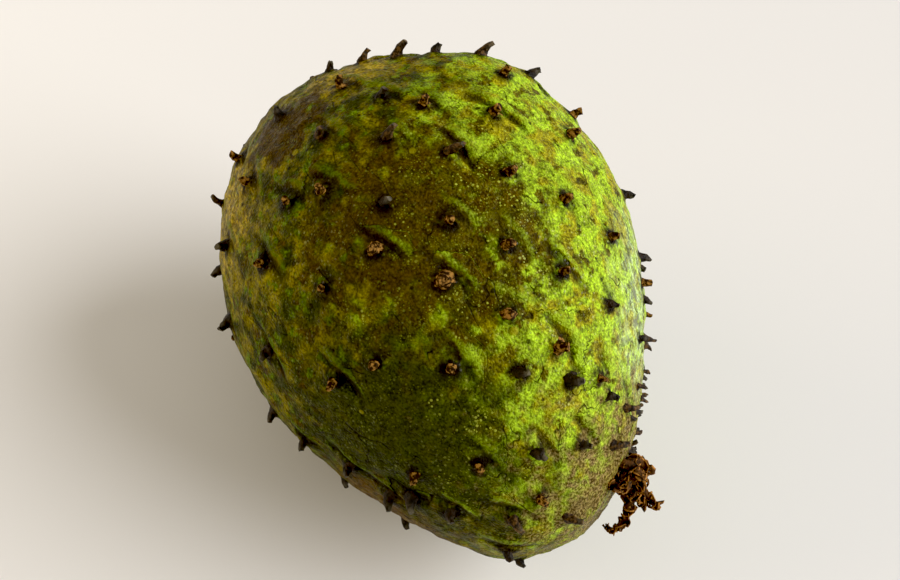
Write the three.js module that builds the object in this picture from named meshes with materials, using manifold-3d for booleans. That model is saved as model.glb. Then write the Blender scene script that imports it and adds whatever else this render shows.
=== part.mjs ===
// A soursop lying on its side, as picked: the fruit with its soft spines, and the withered tuft at
// its tip. Millimetres, +Z up, +X from the stem end to the tip, origin on the ground under the middle.
import * as THREE from "three";
import { mergeVertices } from "three/addons/utils/BufferGeometryUtils.js";
import Module from "manifold-3d";

const wasm = await Module();
wasm.setup();

// The body is an egg-shaped ellipsoid round its middle, drawn in towards the tip.
const HALF_LENGTH = 87;
const HALF_WIDTH = 61.5;
const HALF_HEIGHT = 65;
const EGG_SKEW = -0.045;
const EGG_ENDS = -0.07;
const MIDDLE = new THREE.Vector3(-3.1, -1.8, 63.6); // so low that 1.5 mm of the body is pressed flat
const BODY_DETAIL = 10;
const SLOPE_STEP = 0.02; // how far apart the skin is sampled for its slope, as a share of its radius

// Swells and dents of the body: degrees round from the tip, degrees up, height and reach.
const SWELLS = [
  { round: -5, up: -15, rise: 13, reach: 25 }, // the blunt nose under the tip
  { round: 130, up: 50, rise: 7, reach: 20 }, // a shoulder on the far side
  { round: 85, up: 35, rise: 5, reach: 30 }, // the full cheek
  { round: -170, up: 5, rise: -5, reach: 8 }, // the dent that the stem grew from
];

// Spines that stand in rows, which sweep from the shoulders round towards the tip. A row is an arc
// from one direction through a middle one to its last, each in degrees round and degrees up, with
// its spines at even shares of the way. Forms: s stub, t thorn, h thin hook, c a cluster of stubs.
const ROWS = [
  { from: [-175, 35], through: [155, 50], to: [100, 45], forms: "thhthts" },
  { from: [-165, 50], through: [-165, 65], to: [180, 75], forms: "sts" },
  { from: [125, 60], through: [110, 75], to: [85, 55], forms: "sss" },
  { from: [-135, 55], through: [30, 75], to: [45, 25], forms: "hhhssss" },
  { from: [-105, 55], through: [-5, 60], to: [30, 20], forms: "stssstt" },
  { from: [-145, 20], through: [-130, 30], to: [-110, 45], forms: "sss" },
  { from: [-65, 55], through: [0, 35], to: [20, 0], forms: "scssshh" },
  { from: [-120, 15], through: [-100, 30], to: [-75, 40], forms: "tss" },
  { from: [-50, 30], through: [-5, 30], to: [15, 10], forms: "sstttt" },
  { from: [-110, -5], through: [-85, 10], to: [-60, 20], forms: "tts" },
  { from: [-35, 5], through: [-5, 15], to: [15, 0], forms: "ssttht" },
  { from: [-40, -10], through: [-15, 0], to: [5, -5], forms: "tthhs" },
  { from: [-85, -20], through: [-60, -10], to: [-35, -5], forms: "tttt" },
  { from: [-10, 5], through: [-15, -10], to: [-10, -20], forms: "stt" },
  { from: [55, 25], through: [35, 15], to: [30, 0], forms: "tthhh" },
];

// The other spines stand scattered. They crowd, and are smaller, on the far side of the tip.
const SCATTER_SEED = 2024;
const SCATTER_TRIES = 6000;
const SCATTER_FORMS = "stth";
const OPEN_SPACING = 21;
const CROWD_SPACING = 5;
const CROWD = direction(30, 2);
const CROWD_REACH = 34;
const CROWD_SIZE = 0.5; // a spine's size in the crowd, as a share of one on the shoulders
const ROWS_SIDE = direction(-37, 50); // the scatter stays off the side that the rows cover
const ROWS_REACH = 0.3;
const GROUND_CLEARANCE = 7; // no spine grows where the fruit rests

// A spine's profile, out from its root, and each form's length, how far its end leans and its girth.
const SPINE_SIDES = 5;
const SPINE_DEPTH = 2;
const SPINE_ROOT_RADIUS = 2.5;
const SPINE_WAIST_RADIUS = 1.3;
const SPINE_TIP_RADIUS = 0.7;
const SPINE_WAIST_AT = 0.4;
const FORMS = {
  s: { length: 3.4, lean: 0.5, girth: 1 },
  t: { length: 4.4, lean: 1.8, girth: 1 },
  h: { length: 6.2, lean: 3.6, girth: 0.8 },
  c: { length: 3.6, lean: 0.3, girth: 1.6 },
};
const SPINE_SIZE_RANGE = [0.85, 1.15];
const LEAN_TO = direction(52, 0);
const LEAN_SPREAD = 0.9; // radians

// The withered tuft: curls that spring from a knot on the skin at the tip.
const TUFT = { round: 9, up: -2 };
const TUFT_BALD = 8;
const KNOT_RADIUS = 4.6;
const KNOT_DETAIL = 3;
const KNOT_SHAPE = [0.7, 1.1, 1];
const KNOT_LIFT = 1.5;
const SKIN_GAP = 0.3;
const CURL_SIDES = 6;
const CURL_STEPS = 14;
const CURL_RADIUS = 1.5;
// Each curl: its length, the way it heads (out, to the far side, up) and how far it turns over.
const CURLS = [
  { length: 19, heading: [0.75, 0.5, -0.1], turn: 1.5 },
  { length: 20, heading: [0.8, -0.2, -0.5], turn: -2.2 },
  { length: 15, heading: [0.45, 0.75, 0.35], turn: 2.4 },
  { length: 13, heading: [0.5, -0.6, 0.25], turn: -2.2 },
  { length: 14, heading: [0.7, 0.3, 0.6], turn: 2.6 },
];

// A unit vector from degrees round from +X and degrees up.
function direction(round, up) {
  const lon = THREE.MathUtils.degToRad(round);
  const lat = THREE.MathUtils.degToRad(up);
  return new THREE.Vector3(Math.cos(lat) * Math.cos(lon), Math.cos(lat) * Math.sin(lon), Math.sin(lat));
}

// How far the skin is from the body's middle in a direction.
function skinRadius(dir) {
  const squares = (dir.x / HALF_LENGTH) ** 2 + (dir.y / HALF_WIDTH) ** 2 + (dir.z / HALF_HEIGHT) ** 2;
  let radius = (1 + EGG_SKEW * dir.x + EGG_ENDS * dir.x ** 2) / Math.sqrt(squares);
  for (const swell of SWELLS) {
    const away = dir.angleTo(direction(swell.round, swell.up)) / THREE.MathUtils.degToRad(swell.reach);
    radius += swell.rise * Math.exp(-(away ** 2));
  }
  return radius;
}

function skinPoint(dir, lift = 0) {
  return dir.clone().multiplyScalar(skinRadius(dir) + lift).add(MIDDLE);
}

// The way out of the skin, from the slopes along two small steps across it.
function skinNormal(dir) {
  const side = new THREE.Vector3(-dir.y, dir.x, 0).normalize();
  const rise = dir.clone().cross(side);
  const at = (along, sign) => skinPoint(dir.clone().addScaledVector(along, sign * SLOPE_STEP).normalize());
  const acrossSide = at(side, 1).sub(at(side, -1));
  const acrossRise = at(rise, 1).sub(at(rise, -1));
  return acrossSide.cross(acrossRise).normalize();
}

// The same run of numbers from 0 to 1 every time, from one seed.
function numbersFrom(seed) {
  let state = seed;
  return () => {
    state = (state * 16807) % 2147483647;
    return state / 2147483647;
  };
}

// A closed geometry as a solid that can be joined and cut.
function solidOf(geometry) {
  const bare = geometry.clone();
  bare.deleteAttribute("normal");
  bare.deleteAttribute("uv");
  const merged = mergeVertices(bare, 1e-4);
  const corners = Array.from(merged.index.array);
  const kept = [];
  for (let i = 0; i < corners.length; i += 3) {
    const [a, b, c] = corners.slice(i, i + 3);
    if (a !== b && b !== c && c !== a) kept.push(a, b, c);
  }
  const vertProperties = merged.attributes.position.array;
  return new wasm.Manifold(new wasm.Mesh({ numProp: 3, vertProperties, triVerts: new Uint32Array(kept) }));
}

function geometryOf(solid) {
  const mesh = solid.getMesh();
  const geometry = new THREE.BufferGeometry();
  geometry.setAttribute("position", new THREE.BufferAttribute(mesh.vertProperties, 3));
  geometry.setIndex(new THREE.BufferAttribute(mesh.triVerts, 1));
  geometry.computeVertexNormals();
  return geometry;
}

// The body without its spines, `lift` outside the true skin.
function bodySolid(lift = 0) {
  const geometry = new THREE.IcosahedronGeometry(1, BODY_DETAIL);
  const positions = geometry.attributes.position;
  const dir = new THREE.Vector3();
  for (let i = 0; i < positions.count; i++) {
    dir.fromBufferAttribute(positions, i).normalize();
    positions.setXYZ(i, ...skinPoint(dir, lift).toArray());
  }
  return solidOf(geometry);
}

// Everything under the ground, to press the fruit flat where it rests.
function groundSolid() {
  const size = 4 * HALF_LENGTH;
  return solidOf(new THREE.BoxGeometry(size, size, size).translate(0, 0, -size / 2));
}

// The direction at a share of the way along a row.
function rowDirection({ from, through, to }, share) {
  const way = direction(...from).multiplyScalar((1 - share) * (1 - 2 * share));
  way.addScaledVector(direction(...through), 4 * share * (1 - share));
  return way.addScaledVector(direction(...to), share * (2 * share - 1)).normalize();
}

// From 0 in the open to 1 in the middle of the crowd.
function crowding(foot) {
  return Math.exp(-((foot.distanceTo(skinPoint(CROWD)) / CROWD_REACH) ** 2));
}

// Where every spine stands, as directions from the body's middle, each with its form.
function spinePlaces() {
  const places = [];
  for (const row of ROWS) {
    [...row.forms].forEach((form, i) => {
      const dir = rowDirection(row, i / (row.forms.length - 1));
      places.push({ dir, form, foot: skinPoint(dir) });
    });
  }
  const next = numbersFrom(SCATTER_SEED);
  const tuftFoot = skinPoint(direction(TUFT.round, TUFT.up));
  for (let i = 0; i < SCATTER_TRIES; i++) {
    const up = Math.asin(2 * next() - 1);
    const round = 2 * Math.PI * next();
    const form = SCATTER_FORMS[Math.floor(SCATTER_FORMS.length * next())];
    const dir = direction(THREE.MathUtils.radToDeg(round), THREE.MathUtils.radToDeg(up));
    const foot = skinPoint(dir);
    if (dir.dot(ROWS_SIDE) > ROWS_REACH || foot.z < GROUND_CLEARANCE) continue;
    const spacing = THREE.MathUtils.lerp(OPEN_SPACING, CROWD_SPACING, crowding(foot));
    if (places.every((other) => other.foot.distanceTo(foot) > spacing)) places.push({ dir, form, foot });
  }
  return places.filter((place) => place.foot.distanceTo(tuftFoot) > TUFT_BALD);
}

// A spine at its place: a five-sided cone with a wide root, whose end leans over.
function spineSolid({ dir, form, foot }, next) {
  const out = skinNormal(dir);
  const ownSize = THREE.MathUtils.lerp(...SPINE_SIZE_RANGE, next());
  const size = ownSize * THREE.MathUtils.lerp(1, CROWD_SIZE, crowding(foot));
  const length = FORMS[form].length * size;
  const lean = FORMS[form].lean * size;
  const girth = FORMS[form].girth * size;
  const heading = LEAN_SPREAD * (next() - 0.5);
  const profile = [
    new THREE.Vector2(0, -SPINE_DEPTH),
    new THREE.Vector2(SPINE_ROOT_RADIUS * girth, -SPINE_DEPTH / 2),
    new THREE.Vector2(SPINE_WAIST_RADIUS * girth, SPINE_WAIST_AT * length),
    new THREE.Vector2(SPINE_TIP_RADIUS * girth, length),
    new THREE.Vector2(0, length),
  ];
  const geometry = new THREE.LatheGeometry(profile, SPINE_SIDES);
  const over = LEAN_TO.clone().addScaledVector(out, -LEAN_TO.dot(out)).normalize();
  over.applyAxisAngle(out, heading);
  const side = over.clone().cross(out);
  const positions = geometry.attributes.position;
  for (let i = 0; i < positions.count; i++) {
    const [x, y, z] = [positions.getX(i), positions.getY(i), positions.getZ(i)];
    const bend = lean * Math.max(0, y / length) ** 2;
    const point = foot.clone().addScaledVector(over, x + bend);
    point.addScaledVector(out, y).addScaledVector(side, z);
    positions.setXYZ(i, ...point.toArray());
  }
  return solidOf(geometry);
}

// One curl of the tuft: a tube along a path that turns over on itself.
function curlSolid({ length, heading, turn }, root, next) {
  const ahead = new THREE.Vector3(...heading).normalize();
  const side = new THREE.Vector3(0, 0, 1).cross(ahead).normalize();
  const rise = ahead.clone().cross(side);
  const path = [root.clone()];
  const roll = Math.PI * next();
  const across = side.clone().multiplyScalar(Math.cos(roll)).addScaledVector(rise, Math.sin(roll));
  for (let i = 1; i <= CURL_STEPS; i++) {
    const angle = turn * (i / CURL_STEPS) ** 2;
    const way = ahead.clone().multiplyScalar(Math.cos(angle)).addScaledVector(across, Math.sin(angle));
    path.push(path[i - 1].clone().addScaledVector(way, length / CURL_STEPS));
  }
  const ring = Array.from({ length: CURL_SIDES }, (_, i) => {
    const angle = (2 * Math.PI * i) / CURL_SIDES;
    return new THREE.Vector2(CURL_RADIUS * Math.cos(angle), CURL_RADIUS * Math.sin(angle));
  });
  const geometry = new THREE.ExtrudeGeometry(new THREE.Shape(ring), {
    steps: CURL_STEPS,
    extrudePath: new THREE.CatmullRomCurve3(path),
  });
  return solidOf(geometry);
}

function knotSolid(root) {
  const geometry = new THREE.IcosahedronGeometry(KNOT_RADIUS, KNOT_DETAIL);
  geometry.scale(...KNOT_SHAPE).translate(...root.toArray());
  return solidOf(geometry);
}

function addMesh(group, name, solid, color, roughness) {
  const material = new THREE.MeshStandardMaterial({ color, roughness, metalness: 0 });
  const mesh = new THREE.Mesh(geometryOf(solid), material);
  mesh.name = name;
  group.add(mesh);
}

const group = new THREE.Group();

const ground = groundSolid();
const places = spinePlaces();
const spineNumbers = numbersFrom(SCATTER_SEED + 1);
let fruit = bodySolid();
for (const place of places) fruit = fruit.add(spineSolid(place, spineNumbers));
fruit = fruit.subtract(ground);
addMesh(group, "fruit", fruit, 0x6f8a22, 0.5);

const curlNumbers = numbersFrom(SCATTER_SEED + 2);
const tuftRoot = skinPoint(direction(TUFT.round, TUFT.up), KNOT_LIFT);
let tuft = knotSolid(tuftRoot);
for (const curl of CURLS) tuft = tuft.add(curlSolid(curl, tuftRoot, curlNumbers));
tuft = tuft.subtract(bodySolid(SKIN_GAP));
addMesh(group, "withered_tip", tuft, 0x3a2313, 0.85);

export default group;
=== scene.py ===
# A ripe soursop lying on its side on a pale floor: its rind, its soft spines and the dry tuft at its tip.
import math

import bmesh
import bpy
import numpy as np
from mathutils import Matrix, Vector, kdtree


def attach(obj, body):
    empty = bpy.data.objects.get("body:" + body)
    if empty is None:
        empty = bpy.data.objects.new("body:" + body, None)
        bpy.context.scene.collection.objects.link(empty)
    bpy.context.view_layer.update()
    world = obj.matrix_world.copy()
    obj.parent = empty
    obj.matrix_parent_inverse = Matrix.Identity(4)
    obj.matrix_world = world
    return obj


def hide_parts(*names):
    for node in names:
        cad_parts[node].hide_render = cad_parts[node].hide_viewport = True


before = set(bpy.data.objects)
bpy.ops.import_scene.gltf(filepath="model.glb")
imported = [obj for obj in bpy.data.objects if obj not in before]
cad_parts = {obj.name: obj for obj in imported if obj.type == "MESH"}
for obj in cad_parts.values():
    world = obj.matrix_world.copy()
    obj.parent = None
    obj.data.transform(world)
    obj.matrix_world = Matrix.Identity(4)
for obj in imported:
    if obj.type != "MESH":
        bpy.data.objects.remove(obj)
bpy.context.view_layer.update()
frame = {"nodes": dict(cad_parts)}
mm = 0.001
print("frame loaded:", ", ".join(frame["nodes"]))


# Small helpers for node trees.
def put(tree, kind, feeds=None, **settings):
    node = tree.nodes.new(kind)
    for name, value in settings.items():
        setattr(node, name, value)
    for name, value in (feeds or {}).items():
        if isinstance(value, bpy.types.NodeSocket):
            tree.links.new(value, node.inputs[name])
        else:
            node.inputs[name].default_value = value
    return node


def maths(tree, operation, *values, clamp=False):
    node = put(tree, "ShaderNodeMath", dict(enumerate(values)), operation=operation, use_clamp=clamp)
    return node.outputs[0]


def times(tree, first, second):
    return maths(tree, "MULTIPLY", first, second)


def vectorMaths(tree, operation, *values):
    places = (0, 3) if operation == "SCALE" else range(3)  # the factor of a scale has a socket of its own
    return put(tree, "ShaderNodeVectorMath", dict(zip(places, values)), operation=operation).outputs[0]


def ramp(tree, value, low, high, toLow=0.0, toHigh=1.0):
    feeds = {0: value, 1: low, 2: high, 3: toLow, 4: toHigh}
    return put(tree, "ShaderNodeMapRange", feeds, interpolation_type="SMOOTHSTEP").outputs[0]


def mixColour(tree, share, first, second, blend="MIX"):
    feeds = {0: share, 6: first, 7: second}  # the factor and the two colour sockets
    return put(tree, "ShaderNodeMix", feeds, data_type="RGBA", blend_type=blend).outputs[2]


def attribute(tree, name):
    return put(tree, "ShaderNodeAttribute", attribute_name=name).outputs["Fac"]


def newSockets(tree, inputs, outputs):
    for name, (kind, value) in inputs.items():
        socket = tree.interface.new_socket(name, in_out="INPUT", socket_type=kind)
        if value is not None:
            socket.default_value = value
    for name, kind in outputs.items():
        tree.interface.new_socket(name, in_out="OUTPUT", socket_type=kind)
    return put(tree, "NodeGroupInput").outputs, put(tree, "NodeGroupOutput").inputs


def useTree(piece, tree, values):
    # sets a Geometry Nodes modifier's inputs by their identifiers, then makes the result a plain mesh
    modifier = piece.modifiers.new(tree.name, "NODES")
    modifier.node_group = tree
    sockets = {s.name: s.identifier for s in tree.interface.items_tree if s.in_out == "INPUT"}
    for name, value in values.items():
        modifier[sockets[name]] = value
    bpy.context.view_layer.update()
    graph = bpy.context.evaluated_depsgraph_get()
    made = piece.evaluated_get(graph)
    return bpy.data.meshes.new_from_object(made, preserve_all_data_layers=True, depsgraph=graph)


def plainPiece(name, mesh, material=None):
    piece = bpy.data.objects.new(name, mesh)
    bpy.context.scene.collection.objects.link(piece)
    if material:
        mesh.materials.clear()
        mesh.materials.append(material)
    mesh.shade_smooth()
    return piece


# The fruit's shape: the same egg, swells and spine places as the CAD model, in millimetres.
fruitShape = {
    "halfSizes": (87, 61.5, 65),
    "eggSkew": -0.045,
    "eggEnds": -0.07,
    "middle": (-3.1, -1.8, 63.6),
    # degrees round from the tip, degrees up, rise, reach in degrees
    "swells": [(-5, -15, 13, 25), (130, 50, 7, 20), (85, 35, 5, 30), (-170, 5, -5, 8)],
    "faceSteps": 124,
}
spineRows = {
    # arcs from one direction through a second to a third, in degrees round and up, with their spines'
    # forms (s stub, t thorn, h hook, c a cluster of stubs) at even shares of the way
    "rows": [
        ((-175, 35), (155, 50), (100, 45), "thhthts"),
        ((-165, 50), (-165, 65), (180, 75), "sts"),
        ((125, 60), (110, 75), (85, 55), "sss"),
        ((-135, 55), (30, 75), (45, 25), "hhhssss"),
        ((-105, 55), (-5, 60), (30, 20), "stssstt"),
        ((-145, 20), (-130, 30), (-110, 45), "sss"),
        ((-65, 55), (0, 35), (20, 0), "scssshh"),
        ((-120, 15), (-100, 30), (-75, 40), "tss"),
        ((-50, 30), (-5, 30), (15, 10), "sstttt"),
        ((-110, -5), (-85, 10), (-60, 20), "tts"),
        ((-35, 5), (-5, 15), (15, 0), "ssttht"),
        ((-40, -10), (-15, 0), (5, -5), "tthhs"),
        ((-85, -20), (-60, -10), (-35, -5), "tttt"),
        ((-10, 5), (-15, -10), (-10, -20), "stt"),
        ((55, 25), (35, 15), (30, 0), "tthhh"),
    ],
    "seed": 2024,
    "tries": 6000,
    "scatterForms": "stth",
    "openSpacing": 21,
    "crowdAt": (30, 2),
    "crowdSpacing": 5,
    "crowdReach": 34,
    "crowdSize": 0.5,
    "rowsSide": (-37, 50),
    "rowsReach": 0.3,
    "groundClearance": 7,
    "sizeRange": (0.85, 1.15),
    "leanTo": (52, 0),
    "leanSpread": 0.9,
}
tuftPlace = {"around": 9, "up": -2, "bald": 8}  # degrees, and the bare skin's reach in millimetres
fruitMiddle = np.array(fruitShape["middle"])


def directionOf(around, up):
    lon, lat = np.radians(around), np.radians(up)
    return np.stack([np.cos(lat) * np.cos(lon), np.cos(lat) * np.sin(lon), np.sin(lat)], -1)


def unit(vectors):
    return vectors / np.linalg.norm(vectors, axis=-1, keepdims=True)


def degreesFrom(directions, around, up):
    return np.degrees(np.arccos(np.clip(directions @ directionOf(around, up), -1, 1)))


def skinRadius(directions):
    radius = 1 / np.linalg.norm(directions / np.array(fruitShape["halfSizes"]), axis=-1)
    along = directions[..., 0]
    radius = radius * (1 + fruitShape["eggSkew"] * along + fruitShape["eggEnds"] * along**2)
    for around, up, rise, reach in fruitShape["swells"]:
        radius = radius + rise * np.exp(-((degreesFrom(directions, around, up) / reach) ** 2))
    return radius


def skinPoint(directions):
    return directions * skinRadius(directions)[..., None] + fruitMiddle


def skinNormal(direction, step=0.02):
    side = unit(np.array([-direction[1], direction[0], 0]))
    rise = np.cross(direction, side)
    before = [skinPoint(unit(direction - step * way)) for way in (side, rise)]
    after = [skinPoint(unit(direction + step * way)) for way in (side, rise)]
    return unit(np.cross(after[0] - before[0], after[1] - before[1]))


def numbersFrom(seed):
    # the same run of even numbers from 0 to 1 as the CAD model draws
    while True:
        seed = seed * 16807 % 2147483647
        yield seed / 2147483647


def rowDirection(start, through, end, share):
    way = directionOf(*start) * (1 - share) * (1 - 2 * share)
    way = way + directionOf(*through) * 4 * share * (1 - share)
    return unit(way + directionOf(*end) * share * (2 * share - 1))


def crowding(points):
    away = np.linalg.norm(points - skinPoint(directionOf(*spineRows["crowdAt"])), axis=-1)
    return np.exp(-((away / spineRows["crowdReach"]) ** 2))


def sizeAt(points):
    return 1 + (spineRows["crowdSize"] - 1) * crowding(points)


def spinePlaces():
    places = []
    for start, through, end, forms in spineRows["rows"]:
        for i, form in enumerate(forms):
            direction = rowDirection(start, through, end, i / (len(forms) - 1))
            places.append((direction, form, skinPoint(direction)))
    numbers = numbersFrom(spineRows["seed"])
    tipFoot = skinPoint(directionOf(tuftPlace["around"], tuftPlace["up"]))
    rowsSide = directionOf(*spineRows["rowsSide"])
    for _ in range(spineRows["tries"]):
        up = math.asin(2 * next(numbers) - 1)
        around = 2 * math.pi * next(numbers)
        form = spineRows["scatterForms"][int(len(spineRows["scatterForms"]) * next(numbers))]
        direction = directionOf(math.degrees(around), math.degrees(up))
        foot = skinPoint(direction)
        if direction @ rowsSide > spineRows["rowsReach"] or foot[2] < spineRows["groundClearance"]:
            continue
        closer = spineRows["openSpacing"] - spineRows["crowdSpacing"]
        spacing = spineRows["openSpacing"] - closer * crowding(foot)
        if min(np.linalg.norm(np.array([other[2] for other in places]) - foot, axis=1)) > spacing:
            places.append((direction, form, foot))
    return [place for place in places if np.linalg.norm(place[2] - tipFoot) > tuftPlace["bald"]]


spines = spinePlaces()
tipFoot = skinPoint(directionOf(tuftPlace["around"], tuftPlace["up"]))
print("spine places:", len(spines))

# The rind: a ball of even quads drawn out to the fruit's shape, with a mound and a fold at every spine.
rindRelief = {
    "moundHeight": 1.0,  # the rind rises into each spine's foot
    "moundReach": 3.4,
    "haloReach": 4.4,  # the dark ring round the foot: partly a stain, partly painted shade under the spine
    # beside a spine the rind folds: a groove that runs towards the tip, with a lip on its far side
    "foldBeside": 3.2,
    "foldLength": 9.0,
    "foldWidth": 1.7,
    "foldDepth": 1.2,
    "lipBeside": 2.6,
    "lipHeight": 0.8,
    "foldTowards": (1.0, 0.25, -0.1),
    "foldTurn": 0.7,  # radians that a fold may turn off its course
    "foldBend": 0.012,  # how fast a fold bends away from its spine, per millimetre
    "foldFarthest": 12,
    "foldSeed": 3,  # added to the spine places' seed
    "tipReach": 30,
    "lumpSize": 0.016,
    "lumpHeight": 0.0014,
    "pebbleSize": 0.0050,
    "pebbleHeight": 0.00065,
    "wrinkleSize": 0.0034,
    "wrinkleHeight": 0.00035,
    "wrinkleStretch": 5.0,
    "wrinklesByTip": (0.05, 0.5, 0.5, 2.4),  # the nearTip mask from and to, and the strengths there
    # the scar that the stalk left: a dent with a raised ring, its reaches in degrees from its middle
    "scarDent": 1.6,
    "scarReach": 4.0,
    "scarLip": 1.1,
    "scarLipAt": 7.5,
    "scarLipWidth": 2.0,
}
# where the rind changes its look: degrees round, degrees up and reach in degrees
rindRegions = {
    # painted light: the side that faces the window
    "paintedLitSide": (50, 30, 70),
    # painted highlight: the paler part of the lit side
    "pale": (45, 15, 32),
    "bruise": (-145, 40, 13),
    # a brown tone of the rind, and partly painted shade where it darkens the middle
    "brown": (-45, 65, 38),
    # painted shade: the lower side away from the window
    "shade": (-40, 10, 36),
    # painted sheen: this region and the next lie on two edges of the rind
    "sheenEdge": (-130, 15, 26),
    "sheenTop": (-175, 45, 16),
    "rusty": (-40, -25, 22),
    "stemScar": (-170, 5, 6),
}


def foldsBesideSpines(points, nearest):
    # how far each point lies across the fold beside its nearest spine, and how deep the fold is there
    numbers = numbersFrom(spineRows["seed"] + rindRelief["foldSeed"])
    towards = np.array(rindRelief["foldTowards"])
    feet, aheads, sides, depths = [], [], [], []
    for direction, _, foot in spines:
        out = skinNormal(direction)
        ahead = unit(towards - out * (towards @ out))
        turn = Matrix.Rotation(rindRelief["foldTurn"] * (next(numbers) - 0.5), 3, Vector(out))
        ahead = np.array(turn @ Vector(ahead))
        feet.append(foot)
        aheads.append(ahead)
        sides.append(np.cross(out, ahead))
        depths.append(next(numbers))
    away = points - np.array(feet)[nearest]
    along = np.sum(away * np.array(aheads)[nearest], axis=1)
    across = np.sum(away * np.array(sides)[nearest], axis=1) - rindRelief["foldBeside"]
    across += rindRelief["foldBend"] * along**2
    depth = np.array(depths)[nearest] * np.exp(-((along / rindRelief["foldLength"]) ** 2))
    return np.clip(across, -rindRelief["foldFarthest"], rindRelief["foldFarthest"]), depth


def rindMesh():
    made = bmesh.new()
    bmesh.ops.create_cube(made, size=2)
    bmesh.ops.subdivide_edges(made, edges=made.edges[:], cuts=fruitShape["faceSteps"] - 1, use_grid_fill=True)
    mesh = bpy.data.meshes.new("rind")
    made.to_mesh(mesh)
    made.free()
    corners = np.empty(len(mesh.vertices) * 3)
    mesh.vertices.foreach_get("co", corners)
    directions = unit(np.tan(corners.reshape(-1, 3) * math.pi / 4))  # evens out the faces
    points = skinPoint(directions)
    mesh.vertices.foreach_set("co", (points * mm).ravel())
    mesh.update()
    normals = np.empty(len(mesh.vertices) * 3)
    mesh.vertex_normals.foreach_get("vector", normals)
    normals = normals.reshape(-1, 3)
    feet = kdtree.KDTree(len(spines))
    for i, (_, _, foot) in enumerate(spines):
        feet.insert(foot, i)
    feet.balance()
    found = [feet.find(point) for point in points]
    toSpine = np.array([distance for _, _, distance in found])
    nearest = np.array([i for _, i, _ in found])
    toTip = np.linalg.norm(points - tipFoot, axis=1)
    size = sizeAt(points)
    mound = np.exp(-((toSpine / (rindRelief["moundReach"] * size)) ** 2))
    across, depth = foldsBesideSpines(points, nearest)
    groove = np.exp(-((across / rindRelief["foldWidth"]) ** 2))
    lip = np.exp(-(((across - rindRelief["lipBeside"]) / rindRelief["foldWidth"]) ** 2))
    rise = rindRelief["moundHeight"] * size * mound
    rise += depth * size * (rindRelief["lipHeight"] * lip - rindRelief["foldDepth"] * groove)
    toScar = degreesFrom(directions, *rindRegions["stemScar"][:2])
    ring = (toScar - rindRelief["scarLipAt"]) / rindRelief["scarLipWidth"]
    rise += rindRelief["scarLip"] * np.exp(-(ring**2))
    rise -= rindRelief["scarDent"] * np.exp(-((toScar / rindRelief["scarReach"]) ** 2))
    points = points + normals * rise[:, None]
    mesh.vertices.foreach_set("co", (points * mm).ravel())
    masks = {
        "nearSpine": np.exp(-((toSpine / (rindRelief["haloReach"] * size)) ** 2)),
        "nearTip": np.exp(-toTip / rindRelief["tipReach"]),
        "foldAcross": across,
        "foldDepth": depth,
    }
    for name, (around, up, reach) in rindRegions.items():
        masks[name] = np.exp(-((degreesFrom(directions, around, up) / reach) ** 2))
    for name, values in masks.items():
        mesh.attributes.new(name, "FLOAT", "POINT").data.foreach_set("value", values.astype(np.float32))
    mesh.update()
    return mesh


def position(tree):
    return put(tree, "GeometryNodeInputPosition").outputs[0]


def named(tree, name, kind):
    return put(tree, "GeometryNodeInputNamedAttribute", {0: name}, data_type=kind).outputs[0]


def scaledPlace(tree, place, size):
    return vectorMaths(tree, "SCALE", place, maths(tree, "DIVIDE", 1.0, size))


def noiseAt(tree, place, detail, output="Fac"):
    return put(tree, "ShaderNodeTexNoise", {"Vector": place, "Scale": 1.0, "Detail": detail}).outputs[output]


def aroundZero(tree, value):
    return maths(tree, "SUBTRACT", value, 0.5)


def painted(tree, shape, material):
    # the end of every tree: a plain mesh with its material
    real = put(tree, "GeometryNodeRealizeInstances", {"Geometry": shape}).outputs[0]
    return put(tree, "GeometryNodeSetMaterial", {"Geometry": real, "Material": material}).outputs[0]


def reliefTree(material):
    # lumps, pebbles and long wrinkles pushed out along the rind's own normal, then pressed flat on the floor
    tree = bpy.data.node_groups.new("rindRelief", "GeometryNodeTree")
    kinds = ("Lump", "Pebble", "Wrinkle")
    names = [kind + part for kind in kinds for part in (" Size", " Height")] + ["Stretch"]
    inputs, outputs = newSockets(
        tree,
        {"Rind": ("NodeSocketGeometry", None), **{name: ("NodeSocketFloat", 1.0) for name in names}},
        {"Rind": "NodeSocketGeometry"},
    )
    place = position(tree)
    normal = put(tree, "GeometryNodeInputNormal").outputs[0]
    heights = []
    for kind, detail in (("Lump", 1), ("Pebble", 2)):
        value = noiseAt(tree, scaledPlace(tree, place, inputs[kind + " Size"]), detail)
        heights.append(times(tree, aroundZero(tree, value), inputs[kind + " Height"]))
    squeeze = maths(tree, "DIVIDE", 1.0, inputs["Stretch"])
    flat = put(tree, "ShaderNodeCombineXYZ", {0: squeeze, 1: 1.0, 2: 1.0}).outputs[0]
    stretched = vectorMaths(tree, "MULTIPLY", place, flat)
    value = noiseAt(tree, scaledPlace(tree, stretched, inputs["Wrinkle Size"]), 2.0)
    ridge = times(tree, maths(tree, "ABSOLUTE", aroundZero(tree, value)), inputs["Wrinkle Height"])
    nearTip = named(tree, "nearTip", "FLOAT")
    heights.append(times(tree, ridge, ramp(tree, nearTip, *rindRelief["wrinklesByTip"])))
    # a noise around zero reaches only half a height either way
    total = times(tree, maths(tree, "ADD", maths(tree, "ADD", *heights[:2]), heights[2]), 2.0)
    feeds = {"Geometry": inputs["Rind"], "Offset": vectorMaths(tree, "SCALE", normal, total)}
    moved = put(tree, "GeometryNodeSetPosition", feeds).outputs[0]
    pressed = vectorMaths(tree, "MAXIMUM", position(tree), (-1.0, -1.0, 0.0))
    moved = put(tree, "GeometryNodeSetPosition", {"Geometry": moved, "Position": pressed}).outputs[0]
    tree.links.new(painted(tree, moved, material), outputs[0])
    return tree


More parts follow.
